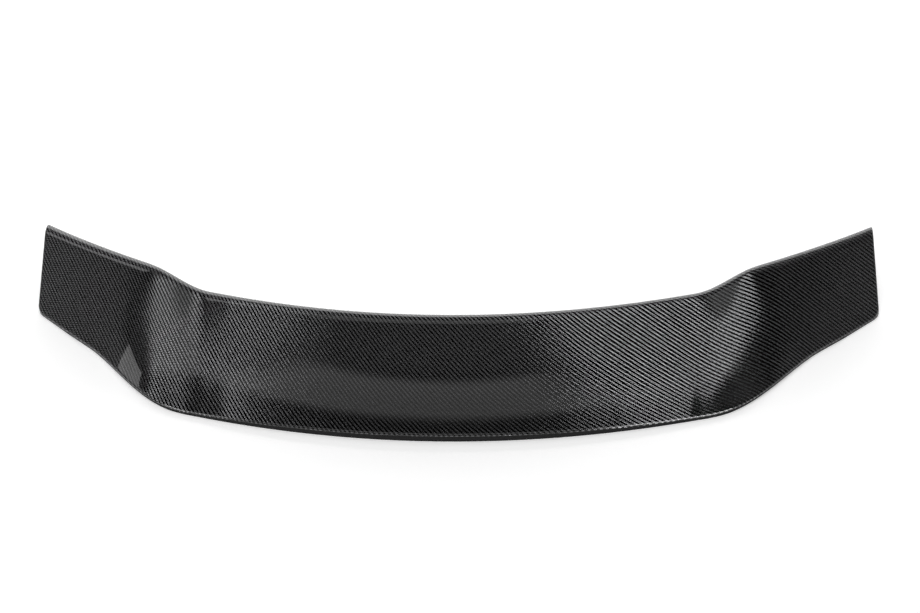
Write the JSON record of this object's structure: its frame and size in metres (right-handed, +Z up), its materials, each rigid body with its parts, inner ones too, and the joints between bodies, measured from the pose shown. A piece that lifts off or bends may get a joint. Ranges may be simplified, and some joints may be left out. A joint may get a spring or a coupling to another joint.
{
  "type": "car spoiler",
  "caption": "Thin moulded rear spoiler shell for a car boot lid, bowed along its span, with a low lip, a rolled top edge and raised wing tips swept back at the ends.",
  "frame": {"origin": "middle of the footprint on the surface that the lip rests on", "axes": "+X along the span, +Y from the lip toward the top edge, +Z up from the surface that the part rests on"},
  "size_m": [1.2784, 0.3645, 0.1036],
  "materials": {
    "coated_carbon": "black twill carbon cloth under clear gloss lacquer"
  },
  "bodies": {
    "root": {"spoiler_shell": "coated_carbon"}
  },
  "joints": []
}
